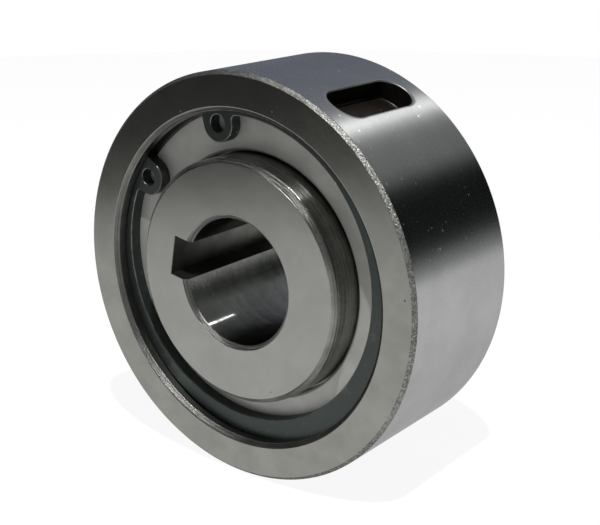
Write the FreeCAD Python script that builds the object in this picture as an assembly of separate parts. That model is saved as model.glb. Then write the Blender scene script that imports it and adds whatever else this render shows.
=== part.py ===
import FreeCAD, Part
import math
import os

from FreeCAD import Vector

# One-way sprag clutch with keyed inner and outer rings.
# The clutch axis is Y, the front face looks along -Y and +Z is up.
# The origin is on the axis at the middle of the width.
# A clock angle is measured in degrees from +X towards +Z, as seen from the front.
# All lengths are in millimetres.

# Outer ring
ring_outer_diameter = 80.0
ring_width = 32.0
ring_wall = 7.5
cover_seat_step = 1.5
ring_edge_chamfer = 0.7
mouth_chamfer = 0.9
race_edge_chamfer = 0.4

# Annular space between the races
race_space = 6.0

# Round-ended key slot in the rim of the outer ring
slot_width = 8.0
slot_length = 22.4
slot_depth = 4.0
slot_clock = 61.5
slot_edge_break = 0.25

# Inner ring
bore_diameter = 25.0
hub_step = 1.0
hub_stand_out = 1.0
hub_chamfer = 1.0
bore_chamfer = 0.8
shoulder_chamfer = 0.3

# Keyway through the bore
keyway_width = 8.0
keyway_depth = 3.3
keyway_clock = 170.0

# End covers
cover_thickness = 3.0
cover_rim_break = 0.3
cover_lip_chamfer = 0.5
cover_fit_gap = 0.03
cover_hub_gap = 0.37
shoulder_end_gap = 0.1

# Circlips that hold the covers
clip_recess = 2.7
clip_thickness = 2.5
clip_back_width = 5.4
clip_end_width = 2.7
clip_gap_clock = 125.0
clip_gap_angle = 31.0
clip_lug_radius = 3.6
clip_hole_diameter = 3.4
clip_hole_inset = 3.9
clip_lug_blend = 1.0
clip_edge_break = 0.2
groove_depth = 1.5
groove_play = 0.15
clip_groove_gap = 0.1

# Stations between the races: each roller is followed by as many sprags as there is room for
roller_count = 6

# Sprags
wedge_angle = 3.5
sprag_head_radius = 3.6
sprag_foot_radius = 3.6
sprag_width = 4.8
sprag_waist = 3.6
sprag_skew = 0.25
sprag_corner_break = 0.3
sprag_race_gap = 0.06
sprag_lip = 0.4

# Support rollers
roller_race_gap = 0.05
roller_edge_chamfer = 0.3

# Cage
cage_wall = 2.4
cage_bar = 1.0
cage_rim = 1.35
cage_end_gap = 0.2
window_side_gap = 0.3
window_end_gap = 0.2

# Garter springs round the sprag heads
spring_thickness = 1.2
spring_race_gap = 0.3
spring_cage_gap = 0.3
spring_floor_gap = 0.4
spring_side_gap = 0.15
spring_roller_gap = 0.3

# Sizes that follow from the ones above
ring_radius = ring_outer_diameter / 2
half_width = ring_width / 2
mouth_radius = ring_radius - ring_wall
outer_race_radius = mouth_radius - cover_seat_step
inner_race_radius = outer_race_radius - race_space
pitch_radius = (outer_race_radius + inner_race_radius) / 2
hub_radius = inner_race_radius - hub_step
hub_half_length = half_width + hub_stand_out
bore_radius = bore_diameter / 2

cover_front = half_width - clip_recess - clip_thickness
cavity_half = cover_front - cover_thickness
cover_inner_radius = hub_radius + cover_hub_gap
cover_outer_radius = mouth_radius - cover_fit_gap
groove_radius = mouth_radius + groove_depth
groove_front = cover_front + clip_thickness + groove_play

clip_outer_radius = groove_radius - clip_groove_gap
clip_inner_radius = clip_outer_radius - (clip_back_width + clip_end_width) / 2
clip_offset = (clip_back_width - clip_end_width) / 2
clip_hole_circle = clip_outer_radius - clip_hole_inset
clip_lug_angle = clip_gap_angle / 2 + math.degrees(math.asin(clip_lug_radius / clip_hole_circle))

cage_half = cavity_half - cage_end_gap
window_half = cage_half - cage_rim
sprag_half = window_half - window_end_gap
spring_radius = outer_race_radius - spring_race_gap - spring_thickness / 2
spring_y = sprag_half - sprag_lip - spring_side_gap - spring_thickness / 2
roller_radius = race_space / 2 - roller_race_gap
roller_half = spring_y - spring_thickness / 2 - spring_roller_gap
cage_outer_radius = spring_radius - spring_thickness / 2 - spring_cage_gap
cage_inner_radius = cage_outer_radius - cage_wall

sprag_window_width = sprag_width + 2 * (sprag_skew + window_side_gap)
roller_window_width = 2 * (roller_radius + window_side_gap)
group_arc = 2 * math.pi * cage_inner_radius / roller_count
stations_per_group = math.floor(group_arc / (sprag_window_width + cage_bar))
station_count = roller_count * stations_per_group
station_angle = 360.0 / station_count

origin = Vector(0, 0, 0)
clutch_axis = Vector(0, 1, 0)


def at_clock(shape, clock):
    """Turn a shape made at the top of the clutch to a clock angle."""
    turned = shape.copy()
    turned.rotate(origin, clutch_axis, 90.0 - clock)
    return turned


def at_station(shape, index):
    """Turn a shape made at the top of the clutch to its station round the axis."""
    turned = shape.copy()
    turned.rotate(origin, clutch_axis, index * station_angle)
    return turned


def turned_ring(profile):
    """Revolve a closed profile of (radius, y) points about the clutch axis."""
    points = [Vector(radius, y, 0) for radius, y in profile]
    face = Part.Face(Part.makePolygon(points + points[:1]))
    return face.revolve(origin, clutch_axis, 360)


def symmetric_ring(rear_half):
    """Revolve a profile given for the rear half only, from the outside inwards."""
    front_half = [(radius, -y) for radius, y in reversed(rear_half)]
    return turned_ring(rear_half + front_half)


def to_rear(shape):
    """Mirror a front piece to the rear of the clutch."""
    return shape.mirror(origin, clutch_axis)


def along_axis(profile, half_length):
    """Extrude a face that lies in the plane y = 0 to both sides of it."""
    solid = profile.extrude(Vector(0, 2 * half_length, 0))
    solid.translate(Vector(0, -half_length, 0))
    return solid


def outer_ring():
    rear_half = [
        (ring_radius, half_width - ring_edge_chamfer),
        (ring_radius - ring_edge_chamfer, half_width),
        (mouth_radius + mouth_chamfer, half_width),
        (mouth_radius, half_width - mouth_chamfer),
        (mouth_radius, groove_front),
        (groove_radius, groove_front),
        (groove_radius, cover_front),
        (mouth_radius, cover_front),
        (mouth_radius, cavity_half),
        (outer_race_radius + race_edge_chamfer, cavity_half),
        (outer_race_radius, cavity_half - race_edge_chamfer),
    ]
    ring = symmetric_ring(rear_half).cut(slot_cutter())
    ring = ring.makeChamfer(slot_edge_break, slot_mouth_edges(ring))
    return at_clock(ring, slot_clock)


def slot_cutter():
    """The round-ended key slot at the top, from its flat floor to outside the rim."""
    end_radius = slot_width / 2
    straight_half = slot_length / 2 - end_radius
    floor = ring_radius - slot_depth
    height = 2 * slot_depth
    block = Part.makeBox(slot_width, 2 * straight_half, height, Vector(-end_radius, -straight_half, floor))
    front_end = Part.makeCylinder(end_radius, height, Vector(0, -straight_half, floor))
    rear_end = Part.makeCylinder(end_radius, height, Vector(0, straight_half, floor))
    return block.fuse([front_end, rear_end]).removeSplitter()


def slot_mouth_edges(ring):
    """The edges where the walls of the slot at the top meet the rim."""
    above = ring_radius - slot_depth / 2
    return [edge for edge in ring.Edges if edge.BoundBox.ZMin > above]


def inner_ring():
    race_half = cavity_half - shoulder_end_gap
    rear_half = [
        (inner_race_radius, race_half - shoulder_chamfer),
        (inner_race_radius - shoulder_chamfer, race_half),
        (hub_radius, race_half),
        (hub_radius, hub_half_length - hub_chamfer),
        (hub_radius - hub_chamfer, hub_half_length),
        (bore_radius + bore_chamfer, hub_half_length),
        (bore_radius, hub_half_length - bore_chamfer),
    ]
    corner = Vector(-keyway_width / 2, -hub_half_length, 0)
    keyway = Part.makeBox(keyway_width, 2 * hub_half_length, bore_radius + keyway_depth, corner)
    return symmetric_ring(rear_half).cut(at_clock(keyway, keyway_clock))


def front_cover():
    profile = [
        (cover_outer_radius, -cavity_half - cover_rim_break),
        (cover_outer_radius, -cover_front + cover_rim_break),
        (cover_outer_radius - cover_rim_break, -cover_front),
        (cover_inner_radius + cover_lip_chamfer, -cover_front),
        (cover_inner_radius, -cover_front + cover_lip_chamfer),
        (cover_inner_radius, -cavity_half),
        (cover_outer_radius - cover_rim_break, -cavity_half),
    ]
    return turned_ring(profile)


def front_circlip():
    """An eccentric snap ring, open at its gap, with a drilled lug at each end."""
    low = -cover_front - clip_thickness
    thickness = clip_thickness

    def disc(radius, x, z):
        return Part.makeCylinder(radius, thickness, Vector(x, low, z), clutch_axis)

    band = disc(clip_outer_radius, 0, 0).cut(disc(clip_inner_radius, 0, clip_offset))
    band = band.cut(gap_wedge(low, thickness))
    lugs = []
    holes = []
    for side in (-1, 1):
        angle = math.radians(90 + side * clip_lug_angle)
        x = clip_hole_circle * math.cos(angle)
        z = clip_hole_circle * math.sin(angle)
        neck = Part.makeBox(2 * clip_lug_radius, thickness, 2 * clip_hole_inset, Vector(-clip_lug_radius, low, 0))
        neck.rotate(origin, clutch_axis, -side * clip_lug_angle)
        neck.translate(Vector(x, 0, z))
        lugs.append(disc(clip_lug_radius, x, z).fuse(neck))
        holes.append(disc(clip_hole_diameter / 2, x, z))
    lugs_in_groove = [lug.common(disc(clip_outer_radius, 0, 0)) for lug in lugs]
    clip = band.fuse(lugs_in_groove).removeSplitter()
    clip = clip.makeFillet(clip_lug_blend, lug_root_edges(clip))
    clip = clip.cut(holes[0]).cut(holes[1])
    return at_clock(clip.makeChamfer(clip_edge_break, front_edges(clip, low)), clip_gap_clock)


def gap_wedge(low, thickness):
    """The sector of the snap ring's gap, up to the middle of each lug."""
    reach = 2 * clip_outer_radius
    points = [Vector(0, low, 0)]
    for side in (-1, 1):
        angle = math.radians(90 + side * clip_lug_angle)
        points.append(Vector(reach * math.cos(angle), low, reach * math.sin(angle)))
    return Part.Face(Part.makePolygon(points + points[:1])).extrude(Vector(0, thickness, 0))


def lug_root_edges(clip):
    """The inside corners where the lugs leave the band of the snap ring."""
    roots = []
    for edge in clip.Edges:
        first, last = edge.Vertexes[0].Point, edge.Vertexes[-1].Point
        along = abs(first.y - last.y) > clip_thickness / 2
        inner_distance = math.hypot(first.x, first.z - clip_offset)
        outer_distance = math.hypot(first.x, first.z)
        on_inner_edge = abs(inner_distance - clip_inner_radius) < clip_edge_break
        if along and on_inner_edge and outer_distance < clip_outer_radius - clip_edge_break:
            roots.append(edge)
    return roots


def front_edges(clip, low):
    """The edges round the front face of the snap ring."""
    return [edge for edge in clip.Edges if edge.BoundBox.YMax < low + clip_edge_break]


def sprag_profile():
    """The cross-section: two cam arcs on offset centres, joined by waisted flanks."""
    lean = math.atan(math.tan(math.radians(wedge_angle)) * race_space / outer_race_radius)
    head_reach = outer_race_radius - sprag_head_radius
    head_centre = Vector(head_reach * math.sin(lean), 0, head_reach * math.cos(lean))
    foot_centre = Vector(0, 0, inner_race_radius + sprag_foot_radius)
    head = cam_arc(head_centre, sprag_head_radius - sprag_race_gap, 1)
    foot = cam_arc(foot_centre, sprag_foot_radius - sprag_race_gap, -1)
    middle = pitch_radius
    right_flank = Part.Arc(head[2], Vector(sprag_waist / 2, 0, middle), foot[0])
    left_flank = Part.Arc(foot[2], Vector(-sprag_waist / 2, 0, middle), head[0])
    curves = [Part.Arc(*head), right_flank, Part.Arc(*foot), left_flank]
    return Part.Face(Part.Wire([curve.toShape() for curve in curves]))


def cam_arc(centre, radius, outward):
    """Start, middle and end of a cam arc, with its far end skewed further out."""
    points = []
    for x in (sprag_skew - sprag_width / 2, 0, sprag_skew + sprag_width / 2):
        points.append(centre + Vector(outward * x, 0, outward * math.sqrt(radius ** 2 - x ** 2)))
    return points


def sprag():
    body = along_axis(sprag_profile(), sprag_half)
    corners = [edge for edge in body.Edges if edge.BoundBox.YLength > sprag_half]
    body = body.makeChamfer(sprag_corner_break, corners)
    floor = spring_radius - spring_thickness / 2 - spring_floor_gap
    groove_width = spring_thickness + 2 * spring_side_gap
    for side in (-1, 1):
        start = side * spring_y - groove_width / 2
        groove = Part.makeBox(2 * sprag_width, groove_width, race_space, Vector(-sprag_width, start, floor))
        body = body.cut(groove)
    return body


def roller():
    half = roller_half
    cylinder = Part.makeCylinder(roller_radius, 2 * half, Vector(0, -half, pitch_radius), clutch_axis)
    rims = [edge for edge in cylinder.Edges if edge.BoundBox.YLength < half]
    return cylinder.makeChamfer(roller_edge_chamfer, rims)


def window(width, half_length):
    """A cutter for one window of the cage."""
    corner = Vector(-width / 2, -half_length, cage_inner_radius - cage_wall / 2)
    return Part.makeBox(width, 2 * half_length, 2 * cage_wall, corner)


def is_roller_station(index):
    return index % stations_per_group == 0


def sprag_cage():
    tube = symmetric_ring([(cage_outer_radius, cage_half), (cage_inner_radius, cage_half)])
    sprag_window = window(sprag_window_width, window_half)
    roller_window = window(roller_window_width, roller_half + window_end_gap)
    windows = []
    for index in range(station_count):
        cutter = roller_window if is_roller_station(index) else sprag_window
        windows.append(at_station(cutter, index))
    return tube.cut(windows)


def front_garter_spring():
    """A closed ring with an eight-sided section in place of its fine round coil."""
    sides = 8
    section = []
    for side in range(sides):
        angle = 2 * math.pi * (side + 0.5) / sides
        radius = spring_radius + spring_thickness / 2 * math.cos(angle)
        section.append((radius, spring_thickness / 2 * math.sin(angle) - spring_y))
    return turned_ring(section)


def all_parts():
    """Every node of the clutch by name."""
    parts = {
        "inner_ring": inner_ring(),
        "outer_ring": outer_ring(),
        "front_cover": front_cover(),
        "front_circlip": front_circlip(),
        "sprag_cage": sprag_cage(),
        "front_garter_spring": front_garter_spring(),
    }
    for name in ("cover", "circlip", "garter_spring"):
        parts["rear_" + name] = to_rear(parts["front_" + name])
    one_sprag = sprag()
    one_roller = roller()
    sprag_number = 0
    roller_number = 0
    for index in range(station_count):
        if is_roller_station(index):
            roller_number += 1
            parts[f"roller_{roller_number:02d}"] = at_station(one_roller, index)
        else:
            sprag_number += 1
            parts[f"sprag_{sprag_number:02d}"] = at_station(one_sprag, index)
    return parts


os.makedirs("parts", exist_ok=True)
for name, shape in all_parts().items():
    shape.exportStep(f"parts/{name}.step")
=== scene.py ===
"""A one-way sprag clutch: keyed rings, end covers, circlips and the sprag set between the races."""
import logging
import math
from dataclasses import dataclass, field
from enum import Enum
from functools import cache
from typing import Any, Iterable, Sequence

import bmesh
import bpy
from mathutils import Matrix, Vector
from mathutils.geometry import tessellate_polygon


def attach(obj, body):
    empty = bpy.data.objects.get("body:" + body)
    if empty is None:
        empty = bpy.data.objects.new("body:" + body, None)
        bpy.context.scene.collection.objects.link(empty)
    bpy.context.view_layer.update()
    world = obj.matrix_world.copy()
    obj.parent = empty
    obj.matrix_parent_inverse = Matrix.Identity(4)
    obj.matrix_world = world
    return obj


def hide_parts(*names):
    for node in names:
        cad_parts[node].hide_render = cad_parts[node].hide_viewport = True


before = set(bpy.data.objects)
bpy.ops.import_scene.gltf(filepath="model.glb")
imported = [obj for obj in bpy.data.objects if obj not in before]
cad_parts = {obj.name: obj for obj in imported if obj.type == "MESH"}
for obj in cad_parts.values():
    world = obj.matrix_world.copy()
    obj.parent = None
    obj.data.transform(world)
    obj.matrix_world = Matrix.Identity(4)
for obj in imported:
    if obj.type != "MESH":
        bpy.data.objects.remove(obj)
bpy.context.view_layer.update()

log = logging.getLogger("clutch")
MM = 0.001
Point = tuple[float, float, float]
Flat = tuple[float, float]
Colour = tuple[float, float, float]
Loop = list[bmesh.types.BMVert]


# Surfaces of the clutch, each with a finish of its own


class Skin(Enum):
    """The kinds of surface that the machined pieces have."""

    RIM = "ground rim"
    RIM_EDGE = "rough turned edge of the rim"
    RING_FACE = "ground face of the outer ring"
    MOUTH_EDGE = "turned edge of the mouth"
    MOUTH = "turned wall of the mouth"
    GROOVE = "circlip groove"
    SEAT = "cover seat and race"
    SLOT_EDGE = "broken edge of the key slot"
    # The slot's wall and root fillet are painted near black, as painted shade inside the deep key
    # slot.
    SLOT_WALL = "milled wall of the key slot"
    # The slot's floor is painted dark brown, mostly as painted shade at the bottom of the deep key
    # slot.
    SLOT_FLOOR = "milled floor of the key slot"
    HUB_FACE = "ground face of the hub"
    HUB_EDGE = "turned edge of the hub"
    HUB = "turned hub"
    BORE_EDGE = "turned edge of the bore"
    BORE = "honed bore"
    KEYWAY = "broached keyway"
    COVER = "end cover"
    CLIP = "black circlip"
    CLIP_EDGE = "worn edge of the circlip"
    SPRING = "garter spring wire"


# Shader maths


class Wire:
    """A shader value that takes part in written maths; every operator adds a Math node."""

    def __init__(self, bench: "Bench", socket: bpy.types.NodeSocket) -> None:
        """Hold a value socket of the bench's material."""
        self.bench = bench
        self.socket = socket

    def _math(self, operation: str, *values: Any) -> "Wire":
        """Add one Math node and return its result."""
        made = self.bench.node("ShaderNodeMath", {"operation": operation}, dict(enumerate(values)))
        return Wire(self.bench, made.outputs[0])

    def __add__(self, other: Any) -> "Wire":
        """Sum."""
        return self._math("ADD", self, other)

    def __radd__(self, other: Any) -> "Wire":
        """Sum with a number on the left."""
        return self._math("ADD", other, self)

    def __sub__(self, other: Any) -> "Wire":
        """Difference."""
        return self._math("SUBTRACT", self, other)

    def __rsub__(self, other: Any) -> "Wire":
        """Difference from a number on the left."""
        return self._math("SUBTRACT", other, self)

    def __mul__(self, other: Any) -> "Wire":
        """Product."""
        return self._math("MULTIPLY", self, other)

    def __rmul__(self, other: Any) -> "Wire":
        """Product with a number on the left."""
        return self._math("MULTIPLY", other, self)

    def __truediv__(self, other: Any) -> "Wire":
        """Quotient."""
        return self._math("DIVIDE", self, other)

    def __rtruediv__(self, other: Any) -> "Wire":
        """Quotient of a number on the left."""
        return self._math("DIVIDE", other, self)

    def __pow__(self, other: Any) -> "Wire":
        """Power."""
        return self._math("POWER", self, other)

    def __rpow__(self, other: Any) -> "Wire":
        """Power of a number on the left."""
        return self._math("POWER", other, self)

    def root(self) -> "Wire":
        """Square root."""
        return self._math("SQRT", self)

    def angle_to(self, other: "Wire") -> "Wire":
        """Angle of the point (other, self), in degrees."""
        return self._math("ARCTAN2", self, other) * (180 / math.pi)

    def most(self, other: Any) -> "Wire":
        """The larger of two values."""
        return self._math("MAXIMUM", self, other)

    def least(self, other: Any) -> "Wire":
        """The smaller of two values."""
        return self._math("MINIMUM", self, other)

    def rise(self, low: float, high: float) -> "Wire":
        """A soft step, which falls where low is the larger.

        Args:
            low: where the step is 0.
            high: where it is 1.

        Returns:
            The step.
        """
        inputs = {"Value": self, "From Min": low, "From Max": high}
        made = self.bench.node("ShaderNodeMapRange", {"interpolation_type": "SMOOTHSTEP"}, inputs)
        return Wire(self.bench, made.outputs[0])


class Bench:
    """The node tree of one material or world, and the only place where nodes are added."""

    def __init__(self, tree: bpy.types.NodeTree) -> None:
        """Clear the tree and keep it."""
        self.tree = tree
        tree.nodes.clear()

    def node(self, kind: str, settings: dict[str, Any], inputs: dict[Any, Any]) -> bpy.types.Node:
        """Add a node.

        Args:
            kind: the node's type name.
            settings: attributes, set before the sockets.
            inputs: socket names or numbers with values, sockets or wires.

        Returns:
            The new node.
        """
        made = self.tree.nodes.new(kind)
        for name, value in settings.items():
            setattr(made, name, value)
        for key, value in inputs.items():
            socket = made.inputs[key]
            if isinstance(value, Wire):
                value = value.socket
            if isinstance(value, bpy.types.NodeSocket):
                self.tree.links.new(value, socket)
            elif isinstance(value, tuple) and len(value) == 3 and socket.type == "RGBA":
                socket.default_value = (*value, 1.0)
            else:
                socket.default_value = value
        return made

    def own_point(self) -> bpy.types.NodeSocket:
        """The point in the piece's own coordinates, in metres."""
        return self.node("ShaderNodeTexCoord", {}, {}).outputs["Object"]

    def parts(self, vector: Any) -> list[Wire]:
        """Take a vector apart."""
        taken = self.node("ShaderNodeSeparateXYZ", {}, {0: vector})
        return [Wire(self, socket) for socket in taken.outputs]

    def place(self) -> tuple[Wire, Wire, Wire, bpy.types.NodeSocket]:
        """The point on a turned piece, in millimetres.

        Returns:
            Its parts across, up and along the piece's axis, and the vector itself.
        """
        inputs = {0: self.own_point(), "Scale": 1 / MM}
        scaled = self.node("ShaderNodeVectorMath", {"operation": "SCALE"}, inputs).outputs[0]
        across, up, along = self.parts(scaled)
        return across, up, along, scaled

    def point(self, x: Any, y: Any, z: Any) -> bpy.types.NodeSocket:
        """Join three values into a vector."""
        return self.node("ShaderNodeCombineXYZ", {}, {0: x, 1: y, 2: z}).outputs[0]

    def noise(self, where: Any, scale: float, detail: float = 2.0, rough: float = 0.5) -> Wire:
        """Smooth noise between 0 and 1."""
        inputs = {"Vector": where, "Scale": scale, "Detail": detail, "Roughness": rough}
        return Wire(self, self.node("ShaderNodeTexNoise", {}, inputs).outputs[0])

    def spots(self, where: Any, scale: float, size: float, share: float) -> Wire:
        """Scattered spots of uneven size, 1 inside and 0 outside.

        Args:
            where: the point.
            scale: cells to a millimetre.
            size: the largest spot as a share of a cell.
            share: how many of the cells hold a spot.

        Returns:
            The mask.
        """
        inputs = {"Vector": where, "Scale": scale}
        cells = self.node("ShaderNodeTexVoronoi", {"feature": "F1"}, inputs)
        luck = self.node("ShaderNodeSeparateColor", {}, {0: cells.outputs["Color"]})
        kept = Wire(self, luck.outputs[0]).rise(1.0 - share, 1.0 - share * 0.9)
        reach = (Wire(self, luck.outputs[1]) ** 2.0 * 0.8 + 0.2) * size
        return (Wire(self, cells.outputs["Distance"]) / reach).rise(1.0, 0.5) * kept

    def mix(self, share: Any, first: Any, second: Any) -> bpy.types.NodeSocket:
        """Blend two colours."""
        inputs = {0: share, 6: first, 7: second}
        return self.node("ShaderNodeMix", {"data_type": "RGBA"}, inputs).outputs[2]

    def bump(self, height: Wire, depth: float, width: float = 0.1) -> bpy.types.NodeSocket:
        """A bumped normal from a height between 0 and 1, with its depth in millimetres."""
        inputs = {"Height": height, "Distance": depth * MM, "Strength": 1.0, "Filter Width": width}
        return self.node("ShaderNodeBump", {}, inputs).outputs[0]

    def glow(self, colour: Any) -> bpy.types.Node:
        """A shader that shines with one colour."""
        return self.node("ShaderNodeEmission", {}, {"Color": colour, "Strength": 1.0})

    def blend(self, share: Wire, first: bpy.types.Node, second: bpy.types.Node) -> bpy.types.Node:
        """Blend two shaders."""
        inputs = {0: share, 1: first.outputs[0], 2: second.outputs[0]}
        return self.node("ShaderNodeMixShader", {}, inputs)

    def close(self, shader: bpy.types.Node, output: str = "ShaderNodeOutputMaterial") -> None:
        """Show a shader on the surface."""
        self.node(output, {}, {"Surface": shader.outputs[0]})

    def surface(self, constants: dict[str, Any], varying: dict[str, Any]) -> None:
        """Close a material with one Principled shader.

        Args:
            constants: sockets that hold one value all over.
            varying: sockets that are linked.
        """
        self.close(self.node("ShaderNodeBsdfPrincipled", {}, {**constants, **varying}))


# Finishes

OIL = (0.06, 0.06, 0.05)
PIT = (0.05, 0.05, 0.045)
DUST = (0.42, 0.43, 0.40)
FLAKE = (0.45, 0.45, 0.43)
QUARTER_TURN = 0.25


def empty_material(name: str) -> tuple[bpy.types.Material, Bench]:
    """Start a material.

    Args:
        name: its name.

    Returns:
        The material and the bench that fills it.
    """
    made = bpy.data.materials.new(name)
    made.use_nodes = True
    return made, Bench(made.node_tree)


@dataclass
class Coat:
    """A steel surface as it is built up, with its height in millimetres."""

    bench: Bench
    colour: Any
    rough: Wire
    height: Wire
    metal: Any

    def lay(self, mask: Wire, tone: Colour, rougher: float, cover: float = 1.0) -> None:
        """Lay a tone over the masked places.

        Args:
            mask: 1 where the tone lies.
            tone: its colour.
            rougher: what it adds to the roughness.
            cover: how much it hides of what is below.
        """
        self.colour = self.bench.mix(mask * cover, self.colour, tone)
        self.rough = self.rough + mask * rougher

    def streak(self, where: Any, turning: Any, share: float) -> None:
        """Lay oily streaks in patches.

        Args:
            where: the point in millimetres.
            turning: the point stretched along the tool marks.
            share: how strong the streaks are.
        """
        band = self.bench.noise(turning, scale=1.0, detail=3.0, rough=0.7).rise(0.46, 0.70)
        patch = self.bench.noise(where, scale=0.35).rise(0.38, 0.58)
        self.lay(band * patch * share, OIL, rougher=0.12)

    def flake(self, where: Any, share: float) -> None:
        """Lay small bright flakes."""
        flakes = self.bench.noise(where, scale=2.8, rough=0.7).rise(0.42, 0.66)
        self.lay(flakes * share, FLAKE, rougher=-0.12)

    def pit(self, where: Any, share: float, depth: float = 0.03) -> None:
        """Sink dark pits.

        Args:
            where: the point in millimetres.
            share: how many there are.
            depth: how deep they are in millimetres.
        """
        pits = self.bench.spots(where, scale=0.9, size=0.22, share=0.10 * share)
        self.lay(pits, PIT, rougher=0.25, cover=0.75)
        self.height = self.height - pits * depth

    def dust(self, where: Any, grain: Wire, share: float) -> None:
        """Lay pale specks of dust, which don't shine.

        Args:
            where: the point in millimetres.
            grain: the steel's own grain, which breaks the specks up.
            share: how many there are.
        """
        specks = self.bench.spots(where, scale=0.8, size=0.32, share=0.45 * share)
        specks = specks * grain.rise(0.35, 0.65) * 0.3
        self.lay(specks, DUST, rougher=0.5)
        self.metal = (1.0 - specks) * self.metal


@dataclass(frozen=True)
class Steel:
    """Bare machined steel: tool marks round the axis, cloudy stain, pits and dust.

    Grain and lines are counts to a millimetre, and their depths are in millimetres. The brushed
    share stretches highlights across the tool marks, and wander bends the marks round the axis.
    """

    name: str
    colour: Colour = (0.40, 0.40, 0.39)
    roughness: float = 0.30
    uneven: float = 0.06
    grain: float = 2.4
    grain_depth: float = 0.002
    lines: float = 7.0
    line_depth: float = 0.001
    stain: float = 0.12
    pits: float = 0.0
    dust: float = 0.0
    brushed: float = 0.0
    graze: float = 1.0
    streaks: float = 0.0
    metal: float = 1.0
    mark_detail: float = 2.0
    wander: float = 0.8
    sparkle: float = 0.0
    bump_width: float = 0.1

    def stained(self, bench: Bench, where: Any) -> bpy.types.NodeSocket:
        """Cloud the steel's colour.

        Args:
            bench: the material's bench.
            where: the point in millimetres.

        Returns:
            The colour, a little darker and lighter in clouds.
        """
        clouds = bench.noise(where, scale=0.13, detail=3.0, rough=0.6)
        dark = tuple(part * (1 - self.stain) for part in self.colour)
        light = tuple(min(1.0, part * (1 + self.stain)) for part in self.colour)
        return bench.mix(clouds.rise(0.30, 0.72), dark, light)

    def material(self) -> bpy.types.Material:
        """Build the finish.

        Returns:
            Its material.
        """
        made, bench = empty_material(self.name)
        across, up, along, where = bench.place()
        radius = (across * across + up * up).root()
        turn = across / radius
        grain = bench.noise(where, self.grain, detail=3.0, rough=0.65)
        marks_at = bench.point(turn * self.wander, along * self.lines, radius * self.lines)
        marks = bench.noise(marks_at, scale=1.0, detail=self.mark_detail, rough=0.6)
        rough = self.roughness + (grain - 0.5) * (2 * self.uneven) + (marks - 0.5) * self.uneven
        height = grain * self.grain_depth + marks * self.line_depth
        coat = Coat(bench, self.stained(bench, where), rough, height, self.metal)
        if self.streaks:
            turning = bench.point(turn * 6.0, along * 2.6, radius * 2.6)
            coat.streak(where, turning, self.streaks)
        if self.sparkle:
            coat.flake(where, self.sparkle)
        if self.pits:
            coat.pit(where, self.pits)
        if self.dust:
            coat.dust(where, grain, self.dust)
        varying = {
            "Base Color": coat.colour,
            "Roughness": coat.rough.most(0.05).least(1.0),
            "Metallic": coat.metal,
            "Normal": bench.bump(coat.height, 1.0, self.bump_width),
        }
        tint = (self.graze, self.graze, self.graze, 1.0)
        brushed = {"Anisotropic": self.brushed, "Anisotropic Rotation": QUARTER_TURN}
        bench.surface({**brushed, "Specular Tint": tint}, varying)
        return made


@dataclass(frozen=True)
class Blackened:
    """Phosphated spring steel: near black, a little blue, lighter where it has rubbed."""

    name: str
    colour: Colour = (0.047, 0.056, 0.052)
    rubbed: Colour = (0.13, 0.145, 0.15)
    roughness: float = 0.38
    wear: float = 0.15

    def material(self) -> bpy.types.Material:
        """Build the finish.

        Returns:
            Its material.
        """
        made, bench = empty_material(self.name)
        where = bench.place()[3]
        clouds = bench.noise(where, scale=0.5, detail=4.0, rough=0.62)
        grain = bench.noise(where, scale=5.0, detail=3.0, rough=0.6)
        worn = (clouds * 0.6 + grain * 0.4).rise(0.62 - self.wear * 0.5, 0.86 - self.wear * 0.4)
        colour = bench.mix(worn, self.colour, self.rubbed)
        rough = self.roughness + (grain - 0.5) * 0.16 - worn * 0.06
        normal = bench.bump(grain * 0.6 + clouds * 0.4, depth=0.006)
        varying = {"Base Color": colour, "Roughness": rough.most(0.05), "Normal": normal}
        bench.surface({"Metallic": 0.85}, varying)
        return made


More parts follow.
